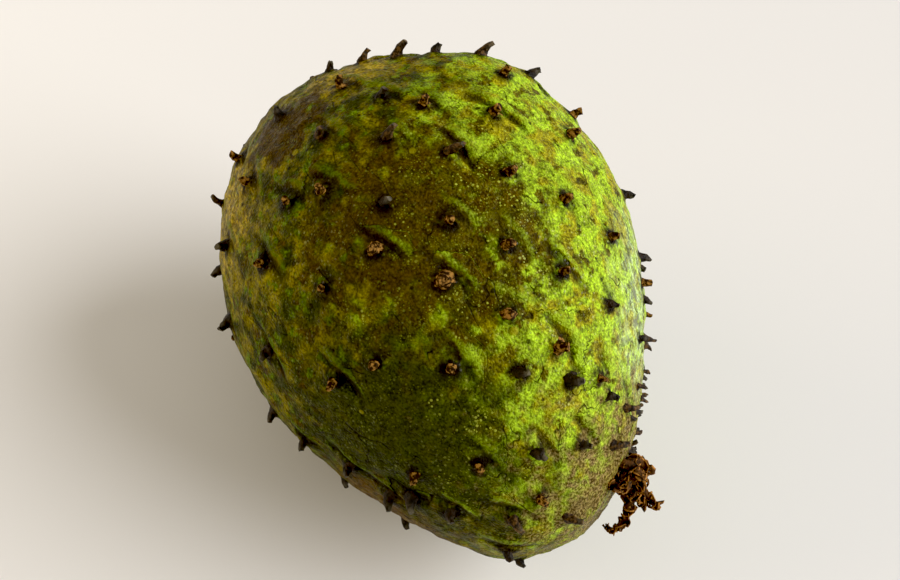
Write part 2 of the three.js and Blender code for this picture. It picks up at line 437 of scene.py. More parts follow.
# Shader groups that more than one finish uses.
fleckShape = {
    "smallest": 0.6,  # a share of the radius
    "spread": 0.8,
    "edge": (0.15, 0.6),  # shares of the dome's height between which the mask fades in
}


def patchGroup():
    # cloudy patches on a piece's own coordinates
    tree = bpy.data.node_groups.new("patches", "ShaderNodeTree")
    inputs, outputs = newSockets(
        tree,
        {
            "Size": ("NodeSocketFloat", 0.01),
            "Stretch": ("NodeSocketVector", (1, 1, 1)),
            "Shift": ("NodeSocketFloat", 0.0),
            "Detail": ("NodeSocketFloat", 3.0),
            "From": ("NodeSocketFloat", 0.4),
            "To": ("NodeSocketFloat", 0.6),
        },
        {"Mask": "NodeSocketFloat", "Value": "NodeSocketFloat"},
    )
    place = put(tree, "ShaderNodeTexCoord").outputs["Object"]
    place = vectorMaths(tree, "MULTIPLY", place, inputs["Stretch"])
    place = vectorMaths(tree, "ADD", scaledPlace(tree, place, inputs["Size"]), inputs["Shift"])
    noise = noiseAt(tree, place, inputs["Detail"])
    tree.links.new(ramp(tree, noise, inputs["From"], inputs["To"]), outputs["Mask"])
    tree.links.new(noise, outputs["Value"])
    return tree


def fleckGroup():
    # small round flecks, one in each cell of a Voronoi net; Share is how many of the cells have one
    tree = bpy.data.node_groups.new("flecks", "ShaderNodeTree")
    inputs, outputs = newSockets(
        tree,
        {
            "Spacing": ("NodeSocketFloat", 0.0015),
            "Radius": ("NodeSocketFloat", 0.35),
            "Share": ("NodeSocketFloat", 0.6),
            "Shift": ("NodeSocketFloat", 0.0),
        },
        {"Mask": "NodeSocketFloat", "Dome": "NodeSocketFloat"},
    )
    place = put(tree, "ShaderNodeTexCoord").outputs["Object"]
    place = vectorMaths(tree, "ADD", scaledPlace(tree, place, inputs["Spacing"]), inputs["Shift"])
    cells = put(tree, "ShaderNodeTexVoronoi", {"Vector": place, "Scale": 1.0})
    pick = put(tree, "ShaderNodeSeparateColor", {0: cells.outputs["Color"]})
    chosen = maths(tree, "LESS_THAN", pick.outputs[0], inputs["Share"])
    reach = maths(tree, "ADD", fleckShape["smallest"], times(tree, pick.outputs[1], fleckShape["spread"]))
    reach = times(tree, inputs["Radius"], reach)
    near = maths(tree, "SUBTRACT", 1.0, maths(tree, "DIVIDE", cells.outputs["Distance"], reach), clamp=True)
    dome = times(tree, maths(tree, "SQRT", near), chosen)
    tree.links.new(ramp(tree, dome, *fleckShape["edge"]), outputs["Mask"])
    tree.links.new(dome, outputs["Dome"])
    return tree


patches = patchGroup()
flecks = fleckGroup()


def useGroup(tree, group, feeds):
    return put(tree, "ShaderNodeGroup", feeds, node_tree=group)


def patch(tree, size, low, high, shift=0.0, detail=3.0, stretch=(1, 1, 1), output="Mask"):
    feeds = {"Size": size, "From": low, "To": high, "Shift": shift, "Detail": detail, "Stretch": stretch}
    return useGroup(tree, patches, feeds).outputs[output]


def newMaterial(name):
    material = bpy.data.materials.new(name)
    material.use_nodes = True
    return material, material.node_tree, material.node_tree.nodes["Principled BSDF"]


rindColours = {
    # lime and yellowOlive make the painted lit side, ochre and deepGreen the painted shaded side
    "lime": (0.37, 0.54, 0.028, 1),
    "yellowOlive": (0.32, 0.29, 0.012, 1),
    # the next colour is a painted highlight
    "pale": (0.51, 0.65, 0.36, 1),
    # the next colour is a painted sheen
    "sheen": (0.42, 0.30, 0.030, 1),
    "ochre": (0.205, 0.168, 0.004, 1),
    "olive": (0.10, 0.085, 0.002, 1),
    "midGreen": (0.10, 0.15, 0.003, 1),
    "deepGreen": (0.036, 0.040, 0.002, 1),
    "brown": (0.064, 0.037, 0.001, 1),
    "rust": (0.12, 0.052, 0.004, 1),
    "darkBrown": (0.010, 0.006, 0.003, 1),
    # the next colour paints pale specks of the rind, partly as painted glints
    "glintFleck": (0.50, 0.56, 0.06, 1),
    "tan": (0.34, 0.25, 0.085, 1),
    "scuff": (0.20, 0.21, 0.15, 1),
    # these two multiply the colour under them
    "betweenGrains": (0.36, 0.33, 0.45, 1),
    "onGrains": (1.6, 1.65, 1.2, 1),
}
# cloudy patches: size in metres, the noise values between which a patch fades in, how far its noise is
# shifted, how detailed it is and how it is stretched
rindPatches = {
    "yellow": (0.007, 0.46, 0.62),
    "oliveSpots": (0.005, 0.56, 0.66, 27.0),
    "streaks": (0.0016, 0.42, 0.62, 5.0, 3.0, (0.25, 1, 0.6)),
    "green": (0.007, 0.34, 0.62, 13.0),
    "brownSpots": (0.0055, 0.53, 0.68, 21.0),
    "freshSpots": (0.0045, 0.55, 0.66, 24.0),
    "grains": (0.00075, 0.34, 0.66, 8.0),
    "coarseGrains": (0.0024, 0.36, 0.64, 18.0, 2.0),
    "lightFlecks": (0.007, 0.42, 0.60, 33.0),
    "fineFlecks": (0.006, 0.44, 0.62, 37.0),
    "scuffs": (0.0045, 0.58, 0.64, 51.0, 4.0, (0.6, 1, 1)),
    "crackLines": (0.010, 0, 1, 91.0, 2.0, (0.22, 1, 1)),
    "cracked": (0.012, 0.52, 0.60, 95.0),
    "foldWander": (0.004, 0, 1, 61.0),
    "stainAndShadeSpots": (0.003, 0.2, 0.6, 41.0),
    "polish": (0.003, 0.3, 0.7, 17.0),
    "pores": (0.0026, 0.3, 0.7, 3.0),
}
# how a region's edge fades in and wanders: mask from and to, the size and shift of its noise, its wobble
rindEdges = {
    "paintedLitSide": (0.22, 0.62, 0.010, 2.0, 0.9),
    "pale": (0.35, 0.8, 0.008, 4.0, 0.5),
    "brown": (0.40, 0.80, 0.0055, 6.0, 1.5),
    "shade": (0.30, 0.85, 0.006, 14.0, 1.1),
    "sheenEdge": (0.35, 0.90, 0.006, 16.0, 0.7),
    "sheenTop": (0.35, 0.90, 0.006, 16.0, 0.7),
    "bruise": (0.36, 0.60, 0.0065, 9.0, 1.3),
    "rusty": (0.30, 0.90, 0.006, 11.0, 1.1),
    "nearTip": (0.22, 0.62, 0.0035, 71.0, 1.0),
    "stemScar": (0.45, 0.6, 0.003, 81.0, 0.3),
}
# spacing in metres, radius as a share of it, and the share of the places that have a fleck
rindFlecks = {
    "light": {"Spacing": 0.0012, "Radius": 0.31, "Share": 0.6},
    "fine": {"Spacing": 0.0007, "Radius": 0.36, "Share": 0.6, "Shift": 9.0},
    "dark": {"Spacing": 0.0042, "Radius": 0.16, "Share": 0.35, "Shift": 5.0},
    "warts": {"Spacing": 0.011, "Radius": 0.10, "Share": 0.4, "Shift": 2.0},
}
# how strongly each mark covers what lies under it; a pair is the share where another mask is empty and full
rindShares = {
    "brown": 0.92,
    "shade": 0.94,
    "rusty": 0.7,
    "dark": 0.8,
    "warts": 0.7,
    "scuffs": 0.8,
    "cracks": 0.75,
    "grooves": 0.8,
    "grains": 0.6,
    "coarseGrains": 0.4,
    "paleHighlightStreaks": (0.25, 0.9),
    "sheenStreaks": (0.3, 0.85),
    "lightFlecks": (0.16, 0.75),
    "fineFlecks": (0.14, 0.5),
    "lipGrains": (0.3, 0.85),
    "tipGrains": (1.0, 0.75),
}
rindBump = {
    "strength": 0.9,
    "distance": 0.0005,
    "flecks": 0.6,
    "warts": 1.2,
    "grooves": 1.5,
    "wander": 4.0,  # millimetres that a fold's line strays
    "grooveReach": (0.2, 1.9),  # millimetres from a fold's line: fully in it, and out of it
    "lipReach": (0.2, 1.5),
    "crackReach": (0.002, 0.010),
    "foldDepths": (0.05, 0.5),
    "stainAndShadeEdge": (0.2, 0.8),
    "roughness": (0.40, 0.65),
    "wetFlecks": 0.35,
    "coatRoughness": 0.22,
    "specular": 0.12,
}


def rindPatch(tree, name, output="Mask"):
    return patch(tree, *rindPatches[name], output=output)


def region(tree, name):
    # a region's mask with an edge that wanders
    low, high, size, shift, wobble = rindEdges[name]
    noise = patch(tree, size, 0.0, 1.0, shift, output="Value")
    value = maths(tree, "ADD", attribute(tree, name), times(tree, aroundZero(tree, noise), wobble))
    return ramp(tree, value, low, high)


def between(tree, mask, name):
    return ramp(tree, mask, 0.0, 1.0, *rindShares[name])


def skinTone(tree, paintedLitSide, pale, streaks):
    # the rind's ground colour: a painted lit side, a painted shaded side, and the regions that lie over them,
    # among them painted shade and a painted sheen
    c = rindColours
    litColour = mixColour(tree, rindPatch(tree, "yellow"), c["lime"], c["yellowOlive"])
    litColour = mixColour(tree, rindPatch(tree, "oliveSpots"), litColour, c["olive"])
    # painted highlight: paler streaks on the side that faces the window
    litColour = mixColour(tree, times(tree, pale, between(tree, streaks, "paleHighlightStreaks")), litColour, c["pale"])
    # painted shade: the same rind in its shaded colours
    shadedColour = mixColour(tree, rindPatch(tree, "green"), c["ochre"], c["deepGreen"])
    shadedColour = mixColour(tree, rindPatch(tree, "brownSpots"), shadedColour, c["brown"])
    shadedColour = mixColour(tree, rindPatch(tree, "freshSpots"), shadedColour, c["midGreen"])
    colour = mixColour(tree, paintedLitSide, shadedColour, litColour)
    # the brown region: a brown tone of the rind, and partly painted shade where it darkens the middle
    colour = mixColour(tree, times(tree, region(tree, "brown"), rindShares["brown"]), colour, c["brown"])
    # painted shade: the lower side away from the window darkened to deep green
    colour = mixColour(tree, times(tree, region(tree, "shade"), rindShares["shade"]), colour, c["deepGreen"])
    # painted sheen: pale streaks on two edge regions
    sheenShare = between(tree, streaks, "sheenStreaks")
    for name in ("sheenEdge", "sheenTop"):
        colour = mixColour(tree, times(tree, region(tree, name), sheenShare), colour, c["sheen"])
    colour = mixColour(tree, region(tree, "bruise"), colour, c["brown"])
    return mixColour(tree, times(tree, region(tree, "rusty"), rindShares["rusty"]), colour, c["rust"])


def foldMasks(tree, grains):
    # the groove beside a spine and its lip, along a line that strays a little; the colour paints shade into
    # the groove and a highlight onto the lip
    stray = times(tree, aroundZero(tree, rindPatch(tree, "foldWander", "Value")), rindBump["wander"])
    across = maths(tree, "ADD", attribute(tree, "foldAcross"), stray)
    depth = ramp(tree, attribute(tree, "foldDepth"), *rindBump["foldDepths"])
    groove = ramp(tree, maths(tree, "ABSOLUTE", across), *rindBump["grooveReach"], 1.0, 0.0)
    lip = maths(tree, "ABSOLUTE", maths(tree, "SUBTRACT", across, rindRelief["lipBeside"]))
    lip = times(tree, ramp(tree, lip, *rindBump["lipReach"], 1.0, 0.0), depth)
    return times(tree, groove, depth), times(tree, lip, between(tree, grains, "lipGrains"))


def crackMask(tree):
    # thin dark cracks that run lengthwise
    line = maths(tree, "ABSOLUTE", aroundZero(tree, rindPatch(tree, "crackLines", "Value")))
    return times(tree, ramp(tree, line, *rindBump["crackReach"], 1.0, 0.0), rindPatch(tree, "cracked"))


def rindMaterial():
    material, tree, shader = newMaterial("rind")
    c, shares = rindColours, rindShares
    # painted light: the side that faces the window, and the paler painted highlight on it
    paintedLitSide = region(tree, "paintedLitSide")
    pale = region(tree, "pale")
    colour = skinTone(tree, paintedLitSide, pale, rindPatch(tree, "streaks"))
    # fine green grains that stand out of the darker skin between them
    grains = rindPatch(tree, "grains")
    coarse = rindPatch(tree, "coarseGrains")
    fine = times(tree, grains, shares["grains"])
    grainMix = maths(tree, "ADD", fine, times(tree, coarse, shares["coarseGrains"]))
    darker = mixColour(tree, 1.0, colour, c["betweenGrains"], "MULTIPLY")
    lighter = mixColour(tree, 1.0, colour, c["onGrains"], "MULTIPLY")
    colour = mixColour(tree, grainMix, darker, lighter)
    specks = {name: useGroup(tree, flecks, feeds).outputs for name, feeds in rindFlecks.items()}
    # light flecks: pale specks of the rind, and painted glints where they crowd onto the painted lit side
    for name, parts in (("light", "lightFlecks"), ("fine", "fineFlecks")):
        strength = times(tree, specks[name]["Mask"], rindPatch(tree, parts))
        colour = mixColour(tree, times(tree, strength, between(tree, paintedLitSide, parts)), colour, c["glintFleck"])
    for name, paint in (("dark", "darkBrown"), ("warts", "yellowOlive")):
        colour = mixColour(tree, times(tree, specks[name]["Mask"], shares[name]), colour, c[paint])
    scuffs = times(tree, rindPatch(tree, "scuffs"), pale)
    colour = mixColour(tree, times(tree, scuffs, shares["scuffs"]), colour, c["scuff"])
    crack = crackMask(tree)
    colour = mixColour(tree, times(tree, crack, shares["cracks"]), colour, c["darkBrown"])
    groove, lip = foldMasks(tree, grains)
    # painted highlight on each fold's lip, in lit and shaded copies
    colour = mixColour(tree, lip, colour, mixColour(tree, paintedLitSide, c["midGreen"], c["lime"]))
    # painted shade in each fold's groove
    colour = mixColour(tree, times(tree, groove, shares["grooves"]), colour, c["darkBrown"])
    # a dark ring round each spine's foot: partly a stain, partly painted shade
    stainAndShade = times(tree, attribute(tree, "nearSpine"), rindPatch(tree, "stainAndShadeSpots"))
    colour = mixColour(tree, ramp(tree, stainAndShade, *rindBump["stainAndShadeEdge"]), colour, c["darkBrown"])
    dryTip = times(tree, region(tree, "nearTip"), between(tree, coarse, "tipGrains"))
    colour = mixColour(tree, dryTip, colour, mixColour(tree, grains, c["brown"], c["tan"]))
    scar = mixColour(tree, grains, c["darkBrown"], c["rust"])
    colour = mixColour(tree, region(tree, "stemScar"), colour, scar)
    tree.links.new(colour, shader.inputs["Base Color"])
    low, high = rindPatches["polish"][1:3]
    rough = ramp(tree, rindPatch(tree, "polish", "Value"), low, high, *rindBump["roughness"])
    tree.links.new(rough, shader.inputs["Roughness"])
    tree.links.new(times(tree, specks["light"]["Mask"], rindBump["wetFlecks"]), shader.inputs["Coat Weight"])
    shader.inputs["Coat Roughness"].default_value = rindBump["coatRoughness"]
    height = maths(tree, "ADD", times(tree, specks["light"]["Dome"], rindBump["flecks"]), grainMix)
    height = maths(tree, "ADD", height, rindPatch(tree, "pores", "Value"))
    height = maths(tree, "ADD", height, times(tree, specks["warts"]["Dome"], rindBump["warts"]))
    cuts = times(tree, maths(tree, "ADD", groove, crack), rindBump["grooves"])
    feeds = {
        "Height": maths(tree, "SUBTRACT", height, cuts),
        "Strength": rindBump["strength"],
        "Distance": rindBump["distance"],
    }
    tree.links.new(put(tree, "ShaderNodeBump", feeds).outputs[0], shader.inputs["Normal"])
    shader.inputs["Specular IOR Level"].default_value = rindBump["specular"]
    return material


spineColours = {
    "black": (0.006, 0.004, 0.002, 1),
    "darkBrown": (0.028, 0.015, 0.006, 1),
    # the next colour is a painted sheen towards each spine's end
    "greySheen": (0.10, 0.085, 0.050, 1),
    "corkDark": (0.022, 0.009, 0.003, 1),
    "corkLight": (0.37, 0.19, 0.042, 1),
}
tuftColours = {
    "dark": (0.007, 0.004, 0.003, 1),
    "brown": (0.10, 0.042, 0.012, 1),
    "rim": (0.50, 0.23, 0.050, 1),
}


# patches as in rindPatches; the pairs are a mask's from and to
spineLooks = {
    "dark": (0.0016, 0.35, 0.65),
    "greySheen": (0.002, 0.4, 0.6),
    "greySheenAlong": (0.5, 1.0),
    "cork": (0.0011, 0.44, 0.66, 9.0),
    "wander": (0.001, -0.15, 0.15, 15.0),
    "tornAlong": (0.86, 0.99),
    "roughness": (0.5, 0.9),
    "grain": (0.0007, 0.3, 0.7),
    "bumpDistance": 0.0005,
    "specular": 0.25,
}
tuftLooks = {
    "brown": (0.0022, 0.40, 0.60),
    "rims": (0.0016, 0.39, 0.51, 11.0),
    "rimEdge": (0.4, 0.9),
    "grain": (0.0006, 0.3, 0.7),
    "bumpDistance": 0.0004,
    "roughness": 0.75,
    "specular": 0.2,
}


def grainBump(tree, shader, looks):
    feeds = {"Height": patch(tree, *looks["grain"], output="Value"), "Distance": looks["bumpDistance"]}
    tree.links.new(put(tree, "ShaderNodeBump", feeds).outputs[0], shader.inputs["Normal"])
    shader.inputs["Specular IOR Level"].default_value = looks["specular"]


def spineMaterial():
    material, tree, shader = newMaterial("spines")
    c, looks = spineColours, spineLooks
    along = attribute(tree, "along")
    dark = mixColour(tree, patch(tree, *looks["dark"]), c["black"], c["darkBrown"])
    # painted sheen: grey patches towards each spine's end
    greySheen = times(tree, ramp(tree, along, *looks["greySheenAlong"]), patch(tree, *looks["greySheen"]))
    dark = mixColour(tree, greySheen, dark, c["greySheen"])
    cork = mixColour(tree, patch(tree, *looks["cork"]), c["corkDark"], c["corkLight"])
    edge = maths(tree, "ADD", along, patch(tree, *looks["wander"]))
    torn = times(tree, ramp(tree, edge, *looks["tornAlong"]), attribute(tree, "corky"))
    tree.links.new(mixColour(tree, torn, dark, cork), shader.inputs["Base Color"])
    tree.links.new(ramp(tree, torn, 0.0, 1.0, *looks["roughness"]), shader.inputs["Roughness"])
    grainBump(tree, shader, looks)
    return material


def tuftMaterial():
    material, tree, shader = newMaterial("dryTuft")
    c, looks = tuftColours, tuftLooks
    colour = mixColour(tree, patch(tree, *looks["brown"]), c["dark"], c["brown"])
    rims = times(tree, patch(tree, *looks["rims"]), ramp(tree, attribute(tree, "rim"), *looks["rimEdge"]))
    tree.links.new(mixColour(tree, rims, colour, c["rim"]), shader.inputs["Base Color"])
    shader.inputs["Roughness"].default_value = looks["roughness"]
    grainBump(tree, shader, looks)
    return material


rind = plainPiece("rind", rindMesh())
print("rind base:", len(rind.data.polygons), "faces")
rindValues = {
    "Lump Size": rindRelief["lumpSize"],
    "Lump Height": rindRelief["lumpHeight"],
    "Pebble Size": rindRelief["pebbleSize"],
    "Pebble Height": rindRelief["pebbleHeight"],
    "Wrinkle Size": rindRelief["wrinkleSize"],
    "Wrinkle Height": rindRelief["wrinkleHeight"],
    "Stretch": rindRelief["wrinkleStretch"],
}
reliefMesh = useTree(rind, reliefTree(rindMaterial()), rindValues)
rind.modifiers.clear()
rind.data = reliefMesh
rind.data.shade_smooth()
print("rind relief done")

# The spines: soft horns, most of them broken off to a corky stub, one blank for each form.
spineForms = {
    # length, how far the end leans, root, waist and tip radius, all in millimetres, and how corky the end is
    "s": {"length": 3.6, "lean": 1.0, "radii": (2.9, 1.4, 1.0), "corky": 1.0},
    "t": {"length": 3.7, "lean": 1.9, "radii": (3.1, 1.55, 0.8), "corky": 0.0},
    "h": {"length": 4.5, "lean": 3.3, "radii": (2.6, 1.35, 0.8), "corky": 0.3},
    "c": {"length": 3.0, "lean": 0.6, "radii": (3.6, 2.0, 1.5), "corky": 1.0},
}
spineBody = {
    "sides": 10,
    "rings": 9,
    "depth": 1.5,  # millimetres under the rind
    "waistAlong": (0.1, 0.5),  # shares of the length between which the root narrows to the waist
    "tipAlong": (0.45, 1.0),
    "roughSize": 0.0019,
    "roughHeight": 0.0009,
}
# small hooks between the others on the crowded side above the tuft, too fine for the CAD model
fineHooks = {
    "seed": 2031,
    "tries": 1500,
    "around": (25, -3),
    "within": 24,
    "spacing": 3.8,
    "spread": 0.22,
    "forms": "hht",
}


def finePlaces():
    middle = skinPoint(directionOf(*fineHooks["around"]))
    numbers = numbersFrom(fineHooks["seed"])
    places = []
    for _ in range(fineHooks["tries"]):
        shift = np.array([next(numbers) - 0.5 for _ in range(3)]) * 2 * fineHooks["within"]
        direction = unit(middle + shift - fruitMiddle)
        foot = skinPoint(direction)
        strayed = np.linalg.norm(foot - middle)
        if strayed > fineHooks["within"] or np.linalg.norm(foot - tipFoot) < tuftPlace["bald"]:
            continue
        others = np.array([place[2] for place in spines + places])
        spacing = fineHooks["spacing"] + fineHooks["spread"] * strayed
        if min(np.linalg.norm(others - foot, axis=1)) > spacing:
            places.append((direction, fineHooks["forms"][len(places) % len(fineHooks["forms"])], foot))
    return places


def spinePoints():
    mesh = bpy.data.meshes.new("spinePoints")
    places = spines + finePlaces()
    mesh.from_pydata([tuple(foot * mm) for _, _, foot in places], [], [])
    numbers = numbersFrom(spineRows["seed"] + 1)
    outs, overs, sizes, forms = [], [], [], []
    leanTo = directionOf(*spineRows["leanTo"])
    for direction, form, foot in places:
        out = skinNormal(direction)
        low, high = spineRows["sizeRange"]
        sizes.append(sizeAt(foot) * (low + (high - low) * next(numbers)))
        over = Vector(unit(leanTo - out * (leanTo @ out)))
        over.rotate(Matrix.Rotation(spineRows["leanSpread"] * (next(numbers) - 0.5), 3, Vector(out)))
        outs.append(out)
        overs.append(over)
        forms.append(list(spineForms).index(form))
    for name, values in (("out", outs), ("over", overs)):
        flat = np.array(values, np.float32).ravel()
        mesh.attributes.new(name, "FLOAT_VECTOR", "POINT").data.foreach_set("vector", flat)
    mesh.attributes.new("size", "FLOAT", "POINT").data.foreach_set("value", np.array(sizes, np.float32))
    mesh.attributes.new("form", "INT", "POINT").data.foreach_set("value", np.array(forms, np.int32))
    return mesh


def stored(tree, shape, name, value):
    feeds = {"Geometry": shape, "Name": name, "Value": value}
    return put(tree, "GeometryNodeStoreNamedAttribute", feeds, data_type="FLOAT", domain="POINT").outputs[0]


def sweep(tree, path, ring, radius):
    feeds = {"Curve": path, "Profile Curve": ring, "Scale": radius, "Fill Caps": True}
    return put(tree, "GeometryNodeCurveToMesh", feeds).outputs[0]


def circle(tree, sides):
    return put(tree, "GeometryNodeCurvePrimitiveCircle", {"Resolution": sides, "Radius": 1.0}).outputs[0]


def finished(tree, gathered, cloudPlace, height, material):
    # what has been gathered, with its surface pushed about by a fine cloud
    real = put(tree, "GeometryNodeRealizeInstances", {"Geometry": gathered.outputs[0]}).outputs[0]
    push = vectorMaths(tree, "SUBTRACT", noiseAt(tree, cloudPlace, 2.0, "Color"), (0.5, 0.5, 0.5))
    push = vectorMaths(tree, "SCALE", push, height)
    rough = put(tree, "GeometryNodeSetPosition", {"Geometry": real, "Offset": push}).outputs[0]
    return painted(tree, rough, material)


def spineBlank(tree, inputs, form):
    length, lean = form["length"] * mm, form["lean"] * mm
    line = put(tree, "GeometryNodeCurvePrimitiveLine", {"End": (0, 0, length)})
    start = put(tree, "ShaderNodeCombineXYZ", {2: times(tree, inputs["Depth"], -1.0)}).outputs[0]
    tree.links.new(start, line.inputs["Start"])
    feeds = {"Curve": line.outputs[0], "Count": inputs["Rings"]}
    path = put(tree, "GeometryNodeResampleCurve", feeds).outputs[0]
    height = put(tree, "ShaderNodeSeparateXYZ", {0: position(tree)}).outputs[2]
    risen = maths(tree, "MAXIMUM", maths(tree, "DIVIDE", height, length), 0.0)
    bend = times(tree, maths(tree, "POWER", risen, 2.0), lean)
    bend = put(tree, "ShaderNodeCombineXYZ", {0: bend}).outputs[0]
    path = put(tree, "GeometryNodeSetPosition", {"Geometry": path, "Offset": bend}).outputs[0]
    along = put(tree, "GeometryNodeSplineParameter").outputs["Factor"]
    path = stored(tree, path, "along", along)
    root, waist, tip = (radius * mm for radius in form["radii"])
    lower = ramp(tree, along, *spineBody["waistAlong"], root, waist)
    radius = maths(tree, "ADD", lower, ramp(tree, along, *spineBody["tipAlong"], 0.0, tip - waist))
    blank = sweep(tree, path, circle(tree, inputs["Sides"]), radius)
    return stored(tree, blank, "corky", form["corky"])


def spineTree(material):
    tree = bpy.data.node_groups.new("spines", "GeometryNodeTree")
    inputs, outputs = newSockets(
        tree,
        {
            "Places": ("NodeSocketGeometry", None),
            "Sides": ("NodeSocketInt", 8),
            "Rings": ("NodeSocketInt", 8),
            "Depth": ("NodeSocketFloat", 0.0015),
            "Rough Size": ("NodeSocketFloat", 0.001),
            "Rough Height": ("NodeSocketFloat", 0.0004),
        },
        {"Spines": "NodeSocketGeometry"},
    )
    kind = "FunctionNodeAlignRotationToVector"
    turn = put(tree, kind, {"Vector": named(tree, "out", "FLOAT_VECTOR")}, axis="Z").outputs[0]
    feeds = {"Rotation": turn, "Vector": named(tree, "over", "FLOAT_VECTOR")}
    turn = put(tree, kind, feeds, axis="X", pivot_axis="Z").outputs[0]
    gathered = put(tree, "GeometryNodeJoinGeometry")
    for index, form in enumerate(spineForms.values()):
        feeds = {2: named(tree, "form", "INT"), 3: index}
        chosen = put(tree, "FunctionNodeCompare", feeds, data_type="INT", operation="EQUAL").outputs[0]
        feeds = {
            "Points": inputs["Places"],
            "Selection": chosen,
            "Instance": spineBlank(tree, inputs, form),
            "Rotation": turn,
            "Scale": named(tree, "size", "FLOAT"),
        }
        tree.links.new(put(tree, "GeometryNodeInstanceOnPoints", feeds).outputs[0], gathered.inputs[0])
    cloudPlace = scaledPlace(tree, position(tree), inputs["Rough Size"])
    height = times(tree, inputs["Rough Height"], 2.0)  # the cloud reaches only half of it either way
    tree.links.new(finished(tree, gathered, cloudPlace, height, material), outputs[0])
    return tree


spineHolder = plainPiece("spinePlaces", spinePoints())
spineValues = {
    "Sides": spineBody["sides"],
    "Rings": spineBody["rings"],
    "Depth": spineBody["depth"] * mm,
    "Rough Size": spineBody["roughSize"],
    "Rough Height": spineBody["roughHeight"],
}
spineMesh = useTree(spineHolder, spineTree(spineMaterial()), spineValues)
bpy.data.objects.remove(spineHolder)
spinePiece = plainPiece("spines", spineMesh)
print("spines:", len(spineMesh.polygons), "faces")

# The withered tuft.
tuftShape = {
    # branches from the root, in millimetres from the tuft's foot: out, to the far side, up
    "branches": [
        [(0, 1, 1), (3, 4, 1), (6, 6, -1), (9, 7, -3), (11, 9, -5)],
        [(0, 0, -1), (4, 2, -2), (7, 1, -5), (9, -2, -8), (9, -5, -10), (7, -6, -10)],
        [(-1, 3, 2), (1, 5, 2), (3, 7, 1), (4, 8, -1)],
        [(-1, -2, 1), (1, -3, 2), (3, -2, 3), (4, 0, 4)],
        [(1, 1, 0), (4, 3, -1), (7, 4, -3), (8, 6, -5)],
        [(-2, 5, 3), (-1, 8, 3), (1, 10, 1), (2, 10, -2)],
        [(-3, 2, 4), (0, 5, 4), (3, 6, 3), (5, 5, 1)],
    ],
    "branchRadius": 1.5,
    "branchTaper": (1.3, 0.5),
    "branchRings": 26,
    "branchSides": 8,
    "curlEvery": 0.0005,
    "curlSize": 0.0019,
    "curlSizes": (0.55, 1.25),
    "curlSeed": 5,
    # one curl is a strap that rolls up on itself; these lengths are shares of its size
    "curl": {"Resolution": 9, "Rotations": 0.85, "Start Radius": 1.0, "End Radius": 0.45, "Height": 0.5},
    "strapTaper": (0.42, 0.12),
    "strapSides": 6,
    "strapScale": (1.0, 0.4, 1.0),
    "roughPerMetre": 900.0,
    "roughHeight": 0.0012,
}


def tuftPaths():
    curve = bpy.data.curves.new("tuftPaths", "CURVE")
    curve.dimensions = "3D"
    for branch in tuftShape["branches"]:
        spline = curve.splines.new("BEZIER")
        spline.bezier_points.add(len(branch) - 1)
        for point, place in zip(spline.bezier_points, branch):
            point.co = (np.array(place) + tipFoot) * mm
            point.handle_left_type = point.handle_right_type = "AUTO"
    return curve


def tuftTree(material):
    tree = bpy.data.node_groups.new("tuft", "GeometryNodeTree")
    inputs, outputs = newSockets(
        tree,
        {
            "Branches": ("NodeSocketGeometry", None),
            "Branch Radius": ("NodeSocketFloat", 0.001),
            "Curl Every": ("NodeSocketFloat", 0.001),
            "Curl Size": ("NodeSocketFloat", 0.002),
            "Seed": ("NodeSocketInt", tuftShape["curlSeed"]),
        },
        {"Tuft": "NodeSocketGeometry"},
    )
    along = put(tree, "GeometryNodeSplineParameter").outputs["Factor"]
    feeds = {"Curve": inputs["Branches"], "Count": tuftShape["branchRings"]}
    fine = put(tree, "GeometryNodeResampleCurve", feeds).outputs[0]
    radius = times(tree, inputs["Branch Radius"], ramp(tree, along, 0.0, 1.0, *tuftShape["branchTaper"]))
    stems = sweep(tree, fine, circle(tree, tuftShape["branchSides"]), radius)
    spiral = put(tree, "GeometryNodeCurveSpiral", tuftShape["curl"]).outputs[0]
    thin = put(tree, "GeometryNodeSplineParameter").outputs["Factor"]
    thin = ramp(tree, thin, 0.0, 1.0, *tuftShape["strapTaper"])
    across = put(tree, "ShaderNodeSeparateXYZ", {0: position(tree)}).outputs[0]
    strap = stored(tree, circle(tree, tuftShape["strapSides"]), "rim", maths(tree, "ABSOLUTE", across))
    feeds = {"Geometry": strap, "Scale": tuftShape["strapScale"]}
    curl = sweep(tree, spiral, put(tree, "GeometryNodeTransform", feeds).outputs[0], thin)
    feeds = {"Curve": inputs["Branches"], "Length": inputs["Curl Every"]}
    spots = put(tree, "GeometryNodeResampleCurve", feeds, mode="LENGTH").outputs[0]
    feeds = {0: (0, 0, 0), 1: (2 * math.pi,) * 3, "Seed": inputs["Seed"]}
    turn = put(tree, "FunctionNodeRandomValue", feeds, data_type="FLOAT_VECTOR").outputs[0]
    low, high = tuftShape["curlSizes"]
    feeds = {2: low, 3: high, "Seed": inputs["Seed"]}
    size = put(tree, "FunctionNodeRandomValue", feeds, data_type="FLOAT").outputs[1]
    feeds = {
        "Points": spots,
        "Instance": curl,
        "Rotation": turn,
        "Scale": times(tree, size, inputs["Curl Size"]),
    }
    curls = put(tree, "GeometryNodeInstanceOnPoints", feeds).outputs[0]
    both = put(tree, "GeometryNodeJoinGeometry")
    tree.links.new(stems, both.inputs[0])
    tree.links.new(curls, both.inputs[0])
    cloudPlace = vectorMaths(tree, "SCALE", position(tree), tuftShape["roughPerMetre"])
    tree.links.new(finished(tree, both, cloudPlace, tuftShape["roughHeight"], material), outputs[0])
    return tree


